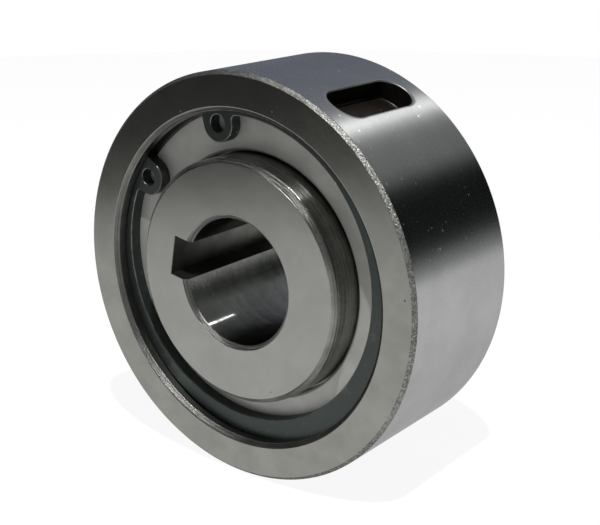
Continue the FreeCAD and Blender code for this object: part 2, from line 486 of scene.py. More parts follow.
FINISHES: dict[Skin, Steel | Blackened] = {
    Skin.RIM: Steel(
        "rim_ground", (0.415, 0.418, 0.415), roughness=0.27, uneven=0.015, grain_depth=0.0002,
        lines=9.0, line_depth=0.0004, stain=0.05, dust=1.0, brushed=1.0, graze=0.6
    ),
    Skin.RIM_EDGE: Steel(
        "rim_edge_rough", (0.14, 0.14, 0.13), roughness=0.44, uneven=0.10, grain_depth=0.20,
        lines=2.5, line_depth=0.10, stain=0.30, pits=1.2, graze=0.3, sparkle=0.6
    ),
    Skin.RING_FACE: Steel(
        "ring_face_ground", (0.252, 0.255, 0.233), roughness=0.24, uneven=0.03, grain=1.8,
        grain_depth=0.001, lines=4.0, line_depth=0.0005, stain=0.09, pits=0.35
    ),
    Skin.MOUTH_EDGE: Steel(
        "mouth_edge_turned", (0.165, 0.165, 0.155), roughness=0.34, uneven=0.14, grain=4.0,
        grain_depth=0.10, lines=3.0, line_depth=0.22, stain=0.2, pits=0.6, brushed=0.3, graze=0.0,
        streaks=0.4
    ),
    Skin.MOUTH: Steel(
        "mouth_wall_turned", (0.20, 0.205, 0.19), roughness=0.32, uneven=0.10, grain=3.0,
        grain_depth=0.01, lines=4.0, line_depth=0.01, stain=0.2, pits=0.4, brushed=0.5, streaks=0.4
    ),
    Skin.GROOVE: Steel(
        "groove_turned", (0.12, 0.12, 0.115), roughness=0.45, uneven=0.10, grain=3.0,
        grain_depth=0.01, lines=4.0, line_depth=0.01, stain=0.2
    ),
    Skin.SEAT: Steel("seat_turned", (0.34, 0.34, 0.33)),
    Skin.SLOT_EDGE: Steel(
        "slot_edge_broken", (0.24, 0.24, 0.23), roughness=0.45, uneven=0.10, grain=3.0,
        grain_depth=0.01, lines=3.0, line_depth=0.004, stain=0.1
    ),
    # Painted shade: the slot's wall and root fillet are near black for the shade inside the deep
    # slot.
    Skin.SLOT_WALL: Steel(
        "slot_wall_painted_shade", (0.045, 0.045, 0.04), roughness=0.42, uneven=0.10, grain=2.6,
        grain_depth=0.01, lines=3.0, line_depth=0.01, stain=0.25
    ),
    # Painted shade: the slot's floor is dark brown, mostly for the shade at the bottom of the deep
    # slot; its dust is real.
    Skin.SLOT_FLOOR: Steel(
        "slot_floor_painted_shade", (0.05, 0.04, 0.034), roughness=0.50, uneven=0.12, grain=1.6,
        grain_depth=0.03, lines=3.0, line_depth=0.01, stain=0.4, dust=1.5
    ),
    Skin.HUB_FACE: Steel(
        "hub_face_ground", (0.287, 0.290, 0.270), roughness=0.25, uneven=0.03, grain=1.8,
        grain_depth=0.001, lines=4.0, line_depth=0.0005, stain=0.05, pits=0.15
    ),
    Skin.HUB_EDGE: Steel(
        "hub_edge_turned", (0.25, 0.25, 0.235), uneven=0.10, grain=3.0, grain_depth=0.05, lines=2.8,
        line_depth=1.0, stain=0.2, pits=0.7, brushed=0.4, graze=0.4, streaks=0.5
    ),
    Skin.HUB: Steel(
        "hub_turned", (0.37, 0.368, 0.348), roughness=0.16, uneven=0.02, grain=3.0,
        grain_depth=0.0006, lines=5.0, line_depth=0.12, stain=0.15, pits=0.2, brushed=1.0,
        streaks=0.6
    ),
    Skin.BORE_EDGE: Steel(
        "bore_edge_turned", (0.25, 0.25, 0.235), uneven=0.08, grain=3.0, grain_depth=0.05,
        lines=3.0, line_depth=0.8, stain=0.15, pits=0.3, brushed=0.6, graze=0.4
    ),
    Skin.BORE: Steel(
        "bore_honed", (0.30, 0.307, 0.29), roughness=0.12, uneven=0.01, grain=2.0, grain_depth=0.0,
        lines=22.0, line_depth=0.038, stain=0.15, brushed=1.0, graze=0.6, streaks=0.25,
        mark_detail=0.0, wander=0.2, bump_width=0.01
    ),
    Skin.KEYWAY: Steel(
        "keyway_broached", (0.12, 0.12, 0.11), roughness=0.40, uneven=0.10, grain=2.0,
        grain_depth=0.01, lines=6.0, line_depth=0.01, stain=0.25
    ),
    Skin.COVER: Steel(
        "cover_turned", (0.335, 0.338, 0.318), roughness=0.42, uneven=0.04, grain=2.0,
        grain_depth=0.001, lines=5.0, stain=0.10, pits=0.15, metal=0.4
    ),
    Skin.CLIP: Blackened("clip_black"),
    Skin.CLIP_EDGE: Blackened(
        "clip_edge_worn", (0.05, 0.06, 0.055), rubbed=(0.16, 0.17, 0.16), roughness=0.36, wear=0.6
    ),
    Skin.SPRING: Steel("spring_wire", (0.34, 0.34, 0.33), roughness=0.28, uneven=0.05),
}


@cache
def material_of(finish: Steel | Blackened) -> bpy.types.Material:
    """The material of a finish, built once."""
    return finish.material()


# Meshes


@dataclass(frozen=True)
class Corner:
    """A corner of a turned profile in millimetres, how far it is eased, and the stretch after it."""

    radius: float
    y: float
    skin: Skin
    ease: float = 0.1
    steps: int = 1


@dataclass(frozen=True)
class Level:
    """One loop of a turned profile, with the surface that follows it."""

    radius: float
    y: float
    skin: Skin

    def meets(self, other: "Level", apart: float = 1e-6) -> bool:
        """Whether both loops lie in one flat face, less than a distance apart."""
        return abs(self.y - other.y) < apart


def eased(corners: Sequence[Corner], arc_steps: int = 3, change: float = 0.3) -> list[Level]:
    """Round the corners of a closed profile.

    Args:
        corners: the profile, in order.
        arc_steps: facets of each rounded corner.
        change: the share of a rounded corner that keeps the surface before it.

    Returns:
        The loops of the profile, in order, with long stretches divided.
    """
    levels: list[Level] = []
    count = len(corners)
    for index, corner in enumerate(corners):
        before, after = corners[index - 1], corners[(index + 1) % count]
        here = Vector((corner.radius, corner.y))
        start = here + (Vector((before.radius, before.y)) - here).normalized() * corner.ease
        end = here + (Vector((after.radius, after.y)) - here).normalized() * corner.ease
        if corner.ease:
            for step in range(arc_steps):
                t = step / arc_steps
                point = start * (1 - t) ** 2 + here * (2 * t * (1 - t)) + end * t ** 2
                skin = corner.skin if t > change else before.skin
                levels.append(Level(point.x, point.y, skin))
        far = Vector((after.radius, after.y))
        stop = far + (here - far).normalized() * after.ease
        first = end if corner.ease else here
        for step in range(corner.steps):
            point = first.lerp(stop, step / corner.steps)
            levels.append(Level(point.x, point.y, corner.skin))
    return levels


def mirrored(rear: Sequence[Corner]) -> list[Corner]:
    """Close a profile that is given for its rear half.

    Args:
        rear: the rear half's corners, from the outside inwards.

    Returns:
        The corners of both halves, in order.
    """
    front = []
    for index in range(len(rear) - 1, -1, -1):
        corner = rear[index]
        skin = rear[index - 1].skin if index else rear[0].skin
        steps = rear[index - 1].steps if index else 1
        front.append(Corner(corner.radius, -corner.y, skin, corner.ease, steps))
    return list(rear) + front


def on_axis(radius: float, y: float, clock: float) -> Point:
    """The point at a radius, a place along the axis and a clock angle in degrees."""
    angle = math.radians(clock)
    return (radius * math.cos(angle), y, radius * math.sin(angle))


class Casting:
    """A mesh made of loops of points, where each face knows its surface."""

    SHARP = math.radians(38)

    def __init__(self) -> None:
        """Start an empty mesh."""
        self.mesh = bmesh.new()
        self.skins: list[Skin] = []

    def vertex(self, point: Point) -> bmesh.types.BMVert:
        """Add a point of the clutch, in millimetres; the mesh has the clutch axis as its own Z."""
        x, y, z = point
        return self.mesh.verts.new((x * MM, -z * MM, y * MM))

    def loop(self, points: Iterable[Point]) -> Loop:
        """Add a loop of points."""
        return [self.vertex(point) for point in points]

    def face(self, corners: Sequence[bmesh.types.BMVert], skin: Skin, flat: bool = False) -> None:
        """Add a face with its surface.

        Args:
            corners: its vertices, in order.
            skin: its surface.
            flat: whether it is shaded flat.
        """
        if skin not in self.skins:
            self.skins.append(skin)
        made = self.mesh.faces.new(corners)
        made.material_index = self.skins.index(skin)
        made.smooth = not flat

    def bridge(self, first: Loop, second: Loop, skin: Skin, flat: bool = False) -> None:
        """Join two closed loops with a band of faces.

        Args:
            first: one loop.
            second: another with as many points.
            skin: the surface of the band.
            flat: whether the band is shaded flat.
        """
        count = len(first)
        for index in range(count):
            after = (index + 1) % count
            self.face((first[index], first[after], second[after], second[index]), skin, flat)

    def extend(self, before: Loop, points: Iterable[Point], skin: Skin, flat: bool = False) -> Loop:
        """Add a loop and join it to the one before.

        Args:
            before: the loop before.
            points: the new loop's points.
            skin: the surface of the band between them.
            flat: whether the band is shaded flat.

        Returns:
            The new loop.
        """
        loop = self.loop(points)
        self.bridge(before, loop, skin, flat)
        return loop

    def lathe(self, levels: Sequence[Level], clocks: Sequence[float]) -> list[Loop]:
        """Turn a stretch of a profile.

        Args:
            levels: the levels of the stretch, in order.
            clocks: the clock angles of the facet lines, in degrees.

        Returns:
            One loop for each level, joined in order.
        """
        loops = [self.loop(on_axis(at.radius, at.y, clock) for clock in clocks) for at in levels]
        for index in range(len(levels) - 1):
            here, after = levels[index], levels[index + 1]
            self.bridge(loops[index], loops[index + 1], here.skin, here.meets(after))
        return loops

    def finish(self, name: str) -> bpy.types.Object:
        """Turn the mesh into an object with its materials and clean shading.

        Args:
            name: the piece's name.

        Returns:
            The new object, in the scene.
        """
        bmesh.ops.recalc_face_normals(self.mesh, faces=self.mesh.faces)
        for edge in self.mesh.edges:
            if len(edge.link_faces) == 2:
                edge.smooth = edge.calc_face_angle() < self.SHARP
        data = bpy.data.meshes.new(name)
        self.mesh.to_mesh(data)
        self.mesh.free()
        for skin in self.skins:
            data.materials.append(material_of(FINISHES[skin]))
        made = bpy.data.objects.new(name, data)
        made.matrix_world = Matrix.Rotation(-math.pi / 2, 4, "X")
        bpy.context.scene.collection.objects.link(made)
        weights = made.modifiers.new("even_shading", "WEIGHTED_NORMAL")
        weights.mode = "FACE_AREA"
        weights.weight = 100
        weights.keep_sharp = True
        return made


def turned(name: str, corners: Sequence[Corner], around: int = 288) -> bpy.types.Object:
    """Revolve a closed profile about the clutch axis.

    Args:
        name: the piece's name.
        corners: the profile.
        around: facets round the axis.

    Returns:
        The turned piece.
    """
    casting = Casting()
    levels = eased(corners)
    loops = casting.lathe(levels, [k * 360 / around for k in range(around)])
    casting.bridge(loops[-1], loops[0], levels[-1].skin, levels[-1].meets(levels[0]))
    return casting.finish(name)


# The clutch


@dataclass
class Sizes:
    """The sizes that the pieces share, in millimetres and degrees."""

    rim: float = 40.0
    half_width: float = 16.0
    rim_edge: float = 0.7
    mouth: float = 32.5
    mouth_edge: float = 0.9
    groove: float = 34.0
    groove_front: float = 13.45
    cover_front: float = 10.8
    cavity_half: float = 7.8
    outer_race: float = 31.0
    race_edge: float = 0.4
    inner_race: float = 25.0
    race_half: float = 7.7
    hub: float = 24.0
    hub_half: float = 17.0
    hub_edge: float = 1.0
    bore: float = 12.5
    bore_edge: float = 0.8


@dataclass
class KeySlot:
    """The round-ended key slot in the rim."""

    width: float = 8.0
    length: float = 22.4
    floor: float = 36.0
    clock: float = 61.5
    edge: float = 0.25
    root: float = 0.3
    corner_facets: int = 28
    flank_facets: int = 12
    overlap: int = 6
    turn_facets: int = 3
    floor_inset: float = 1.5

    def outline(self, grow: float) -> list[Flat]:
        """The slot's outline.

        Args:
            grow: how far it is grown, in millimetres.

        Returns:
            Points (across, along) from the corner that the patch starts at.
        """
        radius = self.width / 2 + grow
        half = self.length / 2 - self.width / 2
        points: list[Flat] = []
        for end in (-1, 1):
            for step in range(self.corner_facets):
                angle = math.pi * step / self.corner_facets
                across, along = radius * math.cos(angle), half + radius * math.sin(angle)
                points.append((end * across, end * along))
            for step in range(self.flank_facets):
                points.append((-end * radius, end * half * (1 - 2 * step / self.flank_facets)))
        return points[self.overlap:] + points[:self.overlap]


@dataclass
class OuterRing:
    """The outer ring: ground rim with its key slot, mouths, circlip grooves and cover seats."""

    sizes: Sizes
    casting: Casting = field(default_factory=Casting)
    slot: KeySlot = field(default_factory=KeySlot)
    around: int = 288
    patch_half: int = 8
    rim_steps: int = 24
    patch_loops: int = 5
    patch_crowding: float = 1.3

    def profile(self) -> list[Corner]:
        """The rear half of the profile, from the rim inwards."""
        s = self.sizes
        return [
            Corner(s.rim, s.half_width - s.rim_edge, Skin.RIM_EDGE, 0.12),
            Corner(s.rim - s.rim_edge, s.half_width, Skin.RING_FACE, 0.10),
            Corner(s.mouth + s.mouth_edge, s.half_width, Skin.MOUTH_EDGE, 0.10),
            Corner(s.mouth, s.half_width - s.mouth_edge, Skin.MOUTH, 0.10),
            Corner(s.mouth, s.groove_front, Skin.GROOVE, 0.08),
            Corner(s.groove, s.groove_front, Skin.GROOVE, 0.10),
            Corner(s.groove, s.cover_front, Skin.GROOVE, 0.10),
            Corner(s.mouth, s.cover_front, Skin.SEAT, 0.05),
            Corner(s.mouth, s.cavity_half, Skin.SEAT, 0.05),
            Corner(s.outer_race + s.race_edge, s.cavity_half, Skin.SEAT, 0.05),
            Corner(s.outer_race, s.cavity_half - s.race_edge, Skin.SEAT, 0.05, 2),
        ]

    def clock(self, index: int) -> float:
        """The clock angle of a facet line, counted from the middle of the slot."""
        return self.slot.clock + index * 360 / self.around

    def build(self) -> bpy.types.Object:
        """Build the ring.

        Returns:
            The ring.
        """
        levels = eased(mirrored(self.profile()))
        loops = self.casting.lathe(levels, [self.clock(k) for k in range(self.around)])
        self.rim(loops[-1], loops[0], levels[-1].y, levels[0].y)
        return self.casting.finish("outer_ring_machined")

    def rim(self, front: Loop, rear: Loop, low: float, high: float) -> None:
        """Cover the rim, with room for the slot's patch.

        Args:
            front: the loop at the front edge.
            rear: the loop at the rear edge.
            low: the front loop's place along the axis.
            high: the rear loop's.
        """
        rows = [front]
        for step in range(1, self.rim_steps):
            y = low + (high - low) * step / self.rim_steps
            row: list[Any] = []
            for k in range(self.around):
                offset = (k + self.around // 2) % self.around - self.around // 2
                point = on_axis(self.sizes.rim, y, self.clock(k))
                row.append(None if abs(offset) < self.patch_half else self.casting.vertex(point))
            rows.append(row)
        rows.append(rear)
        for first, second in zip(rows, rows[1:]):
            for k in range(self.patch_half, self.around - self.patch_half):
                after = (k + 1) % self.around
                self.casting.face((first[k], first[after], second[after], second[k]), Skin.RIM)
        self.patch(rows)

    def patch(self, rows: list[list[Any]]) -> None:
        """Fill the patch round the slot, then sink the slot into it.

        Args:
            rows: the rim's rows of vertices, from the front to the rear.
        """
        half = self.patch_half
        facets = range(-half, half)
        border = [rows[0][k] for k in facets]
        border += [rows[step][half] for step in range(self.rim_steps)]
        border += [rows[-1][-k] for k in facets]
        border += [rows[step][-half] for step in range(self.rim_steps, 0, -1)]
        outer = [self.flattened(vertex.co) for vertex in border]
        inner = self.slot.outline(self.slot.edge)
        before = border
        for step in range(1, self.patch_loops + 1):
            t = 1 - (1 - step / self.patch_loops) ** self.patch_crowding
            points = []
            for (a, b), (c, d) in zip(outer, inner):
                points.append(self.on_rim(a + (c - a) * t, b + (d - b) * t, depth=0.0))
            before = self.casting.extend(before, points, Skin.RIM)
        self.sink(before)

    def sink(self, mouth: Loop) -> None:
        """Run the slot's broken edge, wall, root fillet and floor from its mouth down.

        Args:
            mouth: the loop round the slot in the rim.
        """
        slot = self.slot
        before = mouth
        for step in range(1, slot.turn_facets + 1):
            turn = math.pi / 2 * step / slot.turn_facets
            grow = slot.edge * (1 - math.sin(turn))
            depth = slot.edge * (1 - math.cos(turn))
            points = [self.on_rim(a, b, depth) for a, b in slot.outline(grow)]
            before = self.casting.extend(before, points, Skin.SLOT_EDGE)
        for step in range(slot.turn_facets + 1):
            turn = math.pi / 2 * step / slot.turn_facets
            grow = -slot.root * (1 - math.cos(turn))
            level = slot.floor + slot.root * (1 - math.sin(turn))
            points = [self.at_slot(level, a, b) for a, b in slot.outline(grow)]
            before = self.casting.extend(before, points, Skin.SLOT_WALL)
        points = [self.at_slot(slot.floor, a, b) for a, b in slot.outline(-slot.floor_inset)]
        before = self.casting.extend(before, points, Skin.SLOT_FLOOR, flat=True)
        self.casting.face(before, Skin.SLOT_FLOOR, flat=True)

    def flattened(self, place: Vector) -> Flat:
        """A point of the rim as (across, along) the slot."""
        angle = math.radians(self.slot.clock)
        return (-math.sin(angle) * place.x - math.cos(angle) * place.y) / MM, place.z / MM

    def at_slot(self, height: float, across: float, along: float) -> Point:
        """A point in the slot's own directions.

        Args:
            height: above the axis.
            across: across the slot.
            along: along the slot and the axis.

        Returns:
            The point of the clutch.
        """
        angle = math.radians(self.slot.clock)
        cos, sin = math.cos(angle), math.sin(angle)
        return (height * cos - across * sin, along, height * sin + across * cos)

    def on_rim(self, across: float, along: float, depth: float) -> Point:
        """The point below the rim by a depth in the slot's own directions."""
        return self.at_slot(math.sqrt(self.sizes.rim ** 2 - across ** 2) - depth, across, along)


@dataclass
class InnerRing:
    """The inner ring: race, turned hubs, and the bore with its broached keyway."""

    sizes: Sizes
    casting: Casting = field(default_factory=Casting)
    key_width: float = 8.0
    key_floor: float = 15.8
    key_clock: float = 170.0
    key_ease: float = 0.12
    race_break: float = 0.3
    bore_round: float = 0.1
    face_step: float = 0.05
    around: int = 288
    wall_steps: int = 4
    floor_steps: int = 12
    bore_steps: int = 8
    face_start: float = 4.0

    def notch(self, radius: float, grow: float = 0.0) -> list[tuple[float, float]]:
        """The bore's outline with its keyway.

        Args:
            radius: of the bore.
            grow: how far the keyway is grown.

        Returns:
            Pairs of the clock angle from the keyway and the radius.
        """
        half = self.key_width / 2 + grow
        floor = self.key_floor + grow
        lip = math.sqrt(radius ** 2 - half ** 2)
        points: list[Flat] = []
        for step in range(self.floor_steps):
            points.append((half * (2 * step / self.floor_steps - 1), floor))
        for step in range(self.wall_steps):
            points.append((half, floor + (lip - floor) * step / self.wall_steps))
        start = math.degrees(math.asin(half / radius))
        arcs = self.around - self.floor_steps - 2 * self.wall_steps
        for step in range(arcs):
            angle = math.radians(start + (360 - 2 * start) * step / arcs)
            points.append((radius * math.sin(angle), radius * math.cos(angle)))
        for step in range(self.wall_steps):
            points.append((-half, lip + (floor - lip) * step / self.wall_steps))
        return [(math.degrees(math.atan2(-x, up)), math.hypot(x, up)) for x, up in points]

    def profile(self) -> list[Corner]:
        """The profile from the bore's front edge round the outside to its rear edge."""
        s = self.sizes
        race_corner = s.race_half - self.race_break
        return [
            Corner(s.bore + s.bore_edge, -s.hub_half, Skin.HUB_FACE, 0.0, 2),
            Corner(s.hub - s.hub_edge, -s.hub_half, Skin.HUB_EDGE, 0.12),
            Corner(s.hub, -s.hub_half + s.hub_edge, Skin.HUB, 0.10, 3),
            Corner(s.hub, -s.race_half, Skin.SEAT, 0.03),
            Corner(s.inner_race - self.race_break, -s.race_half, Skin.SEAT, 0.05),
            Corner(s.inner_race, -race_corner, Skin.SEAT, 0.05, 2),
            Corner(s.inner_race, race_corner, Skin.SEAT, 0.05),
            Corner(s.inner_race - self.race_break, s.race_half, Skin.SEAT, 0.05),
            Corner(s.hub, s.race_half, Skin.HUB, 0.03, 3),
            Corner(s.hub, s.hub_half - s.hub_edge, Skin.HUB_EDGE, 0.10),
            Corner(s.hub - s.hub_edge, s.hub_half, Skin.HUB_FACE, 0.12, 2),
            Corner(s.bore + s.bore_edge, s.hub_half, Skin.HUB_FACE, 0.0),
        ]

    def notched(self, radius: float, y: float, grow: float = 0.0) -> list[Point]:
        """The bore's outline at a place along the axis."""
        return [on_axis(r, y, self.key_clock + clock) for clock, r in self.notch(radius, grow)]

    def build(self) -> bpy.types.Object:
        """Build the ring.

        Returns:
            The ring.
        """
        s = self.sizes
        lip = s.bore + s.bore_edge
        levels = [level for level in eased(self.profile()) if level.radius > lip + self.face_start]
        clocks = [self.key_clock + clock for clock, _ in self.notch(lip, self.key_ease)]
        loops = self.casting.lathe(levels, clocks)
        rows = [self.bore_end(loops[0], -1)]
        rear = self.bore_end(loops[-1], 1)
        for step in range(1, self.bore_steps):
            y = (s.hub_half - s.bore_edge) * (2 * step / self.bore_steps - 1)
            rows.append(self.casting.loop(self.notched(s.bore, y)))
        rows.append(rear)
        for first, second in zip(rows, rows[1:]):
            self.wall(first, second, Skin.BORE)
        return self.casting.finish("inner_ring_machined")

    def wall(self, first: Loop, second: Loop, skin: Skin) -> None:
        """Join two notched loops.

        Args:
            first: one loop.
            second: the other.
            skin: the surface beside the keyway, which has its own.
        """
        notch_end = self.floor_steps + self.wall_steps
        count = len(first)
        for index in range(count):
            in_key = index < notch_end or index >= count - self.wall_steps
            after = (index + 1) % count
            corners = (first[index], first[after], second[after], second[index])
            self.casting.face(corners, Skin.KEYWAY if in_key else skin)

    def bore_end(self, face_loop: Loop, side: int) -> Loop:
        """Close one face down to the bore.

        Args:
            face_loop: the loop that the face ends with so far.
            side: -1 at the front, 1 at the rear.

        Returns:
            The loop where the straight bore starts.
        """
        s = self.sizes
        ease = self.key_ease
        lip = s.bore + s.bore_edge
        straight = s.hub_half - s.bore_edge
        steps = (
            (lip - ease, s.hub_half - 0.7 * ease, 0.3 * ease),
            (s.bore + self.bore_round, straight + self.bore_round, 0.0),
            (s.bore, straight - self.bore_round, 0.0),
        )
        face_end = self.notched(lip + self.face_step, side * s.hub_half, ease)
        before = self.casting.extend(face_loop, face_end, Skin.HUB_FACE, flat=True)
        for radius, y, grow in steps:
            loop = self.casting.loop(self.notched(radius, side * y, grow))
            self.wall(before, loop, Skin.BORE_EDGE)
            before = loop
        return before


@dataclass
class EndCover:
    """A ring-shaped cover that closes the space between the races."""

    sizes: Sizes
    outer: float = 32.47
    inner: float = 24.37
    rim_break: float = 0.3
    lip: float = 0.5

    def build(self, side: int, name: str) -> bpy.types.Object:
        """Build a cover.

        Args:
            side: -1 at the front, 1 at the rear.
            name: its name.

        Returns:
            The cover.
        """
        s = self.sizes
        corners = [
            Corner(self.outer, side * (s.cavity_half + self.rim_break), Skin.COVER, 0.05),
            Corner(self.outer, side * (s.cover_front - self.rim_break), Skin.COVER, 0.06),
            Corner(self.outer - self.rim_break, side * s.cover_front, Skin.COVER, 0.06),
            Corner(self.inner + self.lip, side * s.cover_front, Skin.COVER, 0.12),
            Corner(self.inner, side * (s.cover_front - self.lip), Skin.COVER, 0.12),
            Corner(self.inner, side * s.cavity_half, Skin.COVER, 0.05),
            Corner(self.outer - self.rim_break, side * s.cavity_half, Skin.COVER, 0.05),
        ]
        return turned(name, corners)


@dataclass
class Circlip:
    """An eccentric snap ring with a drilled lug on each side of its gap."""

    sizes: Sizes
    casting: Casting = field(default_factory=Casting)
    outer: float = 33.9
    inner: float = 29.95
    offset: float = 1.6
    thickness: float = 2.5
    hole_circle: float = 30.0
    lug: float = 3.6
    hole: float = 1.7
    blend: float = 1.0
    gap_clock: float = 125.0
    gap_angle: float = 31.0
    edge: float = 0.2
    back_edge: float = 0.06
    band_facets: int = 150
    lug_facets: int = 40
    blend_facets: int = 10

    def lug_angle(self) -> float:
        """Half the angle between the two lug holes."""
        return math.radians(self.gap_angle / 2) + math.asin(self.lug / self.hole_circle)

    def half_outline(self) -> list[Flat]:
        """Half of the outline.

        Returns:
            The half right of the gap at the top, from the rim's bottom round to the inside.
        """
        turn = self.lug_angle()

        def turned_right(across: float, up: float) -> Flat:
            """Turn a point from the top to the lug's place."""
            return (
                across * math.cos(turn) + up * math.sin(turn),
                up * math.cos(turn) - across * math.sin(turn),
            )

        neck = turned_right(-self.lug, math.sqrt(self.outer ** 2 - self.lug ** 2))
        neck_angle = math.atan2(neck[1], neck[0])
        points = arc((0.0, 0.0), self.outer, -math.pi / 2, neck_angle, self.band_facets)
        centre = turned_right(0.0, self.hole_circle)
        middle = (0.0, self.offset)
        root = meeting(centre, self.lug + self.blend, middle, self.inner - self.blend)
        lug_end = heading(centre, root)
        band_start = heading(middle, root)
        tip_start = heading(centre, turned_right(-self.lug, self.hole_circle))
        points += arc(centre, self.lug, tip_start, later(lug_end, tip_start), self.lug_facets)
        blend_start = heading(root, centre)
        blend_end = heading(root, (2 * root[0] - middle[0], 2 * root[1] - middle[1]))
        blend_end = earlier(blend_end, blend_start)
        points += arc(root, self.blend, blend_start, blend_end, self.blend_facets)
        points += arc(middle, self.inner, band_start, -math.pi / 2, self.band_facets)
        return points

    def outline(self) -> list[Flat]:
        """The whole outline, anticlockwise."""
        right = self.half_outline()
        return without_repeats(right + [(-across, up) for across, up in reversed(right)])

    def placed(self, point: Flat, y: float) -> Point:
        """Turn the outline to the gap's clock angle.

        Args:
            point: a point of the outline.
            y: its place along the axis.

        Returns:
            The point of the clutch.
        """
        angle = math.radians(self.gap_clock - 90)
        across, up = point
        return (
            across * math.cos(angle) - up * math.sin(angle),
            y,
            across * math.sin(angle) + up * math.cos(angle),
        )

    def build(self, side: int, name: str) -> bpy.types.Object:
        """Build a snap ring.

        Args:
            side: -1 at the front, 1 at the rear.
            name: its name.

        Returns:
            The snap ring.
        """
        turn = self.lug_angle()
        shapes = [self.outline()]
        for sign in (-1, 1):
            centre = (sign * self.hole_circle * math.sin(turn), self.hole_circle * math.cos(turn))
            hole = arc(centre, self.hole, 0.0, 2 * math.pi, self.lug_facets)[:-1]
            shapes.append(list(reversed(hole)))
        walls = [self.wall(shape, side) for shape in shapes]
        for end in (0, -1):
            self.cap([loops[end] for loops in walls])
        return self.casting.finish(name)

    def wall(self, shape: Sequence[Flat], side: int) -> list[Loop]:
        """Raise the edge along one outline.

        Args:
            shape: the outline of the ring or of a hole.
            side: -1 at the front, 1 at the rear.

        Returns:
            The loops from the cover outwards.
        """
        back = self.sizes.cover_front
        front = back + self.thickness
        steps = [(self.back_edge, back), (0.0, back + self.back_edge), (0.0, front - self.edge)]
        straight = len(steps)
        for turn in (math.pi / 6, math.pi / 3, math.pi / 2):
            inset, drop = self.edge * (1 - math.cos(turn)), self.edge * (1 - math.sin(turn))
            steps.append((inset, front - drop))
        loops: list[Loop] = []
        for number, (inset, y) in enumerate(steps):
            points = [self.placed(point, side * y) for point in inset_outline(shape, inset)]
            loops.append(self.casting.loop(points))
            if number:
                skin = Skin.CLIP if number < straight else Skin.CLIP_EDGE
                self.casting.bridge(loops[-2], loops[-1], skin)
        return loops

    def cap(self, loops: Sequence[Loop]) -> None:
        """Close one face.

        Args:
            loops: the face's outline and its two holes.
        """
        corners = [vertex for loop in loops for vertex in loop]
        shapes = [[Vector((v.co.x, v.co.y, 0.0)) / MM for v in loop] for loop in loops]
        for triangle in tessellate_polygon(shapes):
            self.casting.face([corners[index] for index in triangle], Skin.CLIP, flat=True)


def arc(centre: Flat, radius: float, start: float, end: float, facets: int) -> list[Flat]:
    """Divide an arc.

    Args:
        centre: its centre.
        radius: its radius.
        start: the angle where it starts, in radians.
        end: the angle where it ends.
        facets: how many parts it gets.

    Returns:
        Its points, both ends included.
    """
    points = []
    for step in range(facets + 1):
        angle = start + (end - start) * step / facets
        points.append((centre[0] + radius * math.cos(angle), centre[1] + radius * math.sin(angle)))
    return points


def heading(start: Flat, end: Flat) -> float:
    """The angle of the direction from one point to another."""
    return math.atan2(end[1] - start[1], end[0] - start[0])


def later(angle: float, start: float) -> float:
    """The same direction as an angle above start."""
    return angle + 2 * math.pi if angle < start else angle


def earlier(angle: float, start: float) -> float:
    """The same direction as an angle below start."""
    return angle - 2 * math.pi if angle > start else angle


def meeting(first: Flat, reach: float, second: Flat, other_reach: float) -> Flat:
    """Where two circles cross.

    Args:
        first: centre of one circle.
        reach: its radius.
        second: centre of the other.
        other_reach: its radius.

    Returns:
        The lower of the two crossings.
    """
    gap = math.dist(first, second)
    along = (reach ** 2 - other_reach ** 2 + gap ** 2) / (2 * gap)
    aside = math.sqrt(reach ** 2 - along ** 2)
    ux, uy = (second[0] - first[0]) / gap, (second[1] - first[1]) / gap
    crossings = []
    for sign in (-1, 1):
        x = first[0] + along * ux + sign * aside * uy
        crossings.append((x, first[1] + along * uy - sign * aside * ux))
    return min(crossings, key=lambda crossing: crossing[1])


def without_repeats(points: Sequence[Flat], apart: float = 1e-4) -> list[Flat]:
    """Drop points that repeat the one before them.

    Args:
        points: a closed outline.
        apart: how far two different points are apart at least.

    Returns:
        The points that stay.
    """
    kept: list[Flat] = []
    for point in points:
        if not kept or math.dist(point, kept[-1]) > apart:
            kept.append(point)
    if math.dist(kept[0], kept[-1]) < apart:
        kept.pop()
    return kept


def inset_outline(points: Sequence[Flat], distance: float, least: float = 0.4) -> list[Flat]:
    """Move a closed anticlockwise outline inwards, with mitred corners.

    Args:
        points: the outline.
        distance: how far it moves.
        least: the least share that a sharp corner's mitre is divided by.

    Returns:
        The moved outline.
    """
    moved = []
    count = len(points)
    for index in range(count):
        here = Vector(points[index])
        come = (here - Vector(points[index - 1])).normalized()
        go = (Vector(points[(index + 1) % count]) - here).normalized()
        inward = (Vector((-come.y, come.x)) + Vector((-go.y, go.x))).normalized()
        share = max(least, inward.dot(Vector((-go.y, go.x))))
        moved.append(tuple(here + inward * (distance / share)))
    return moved


# The studio


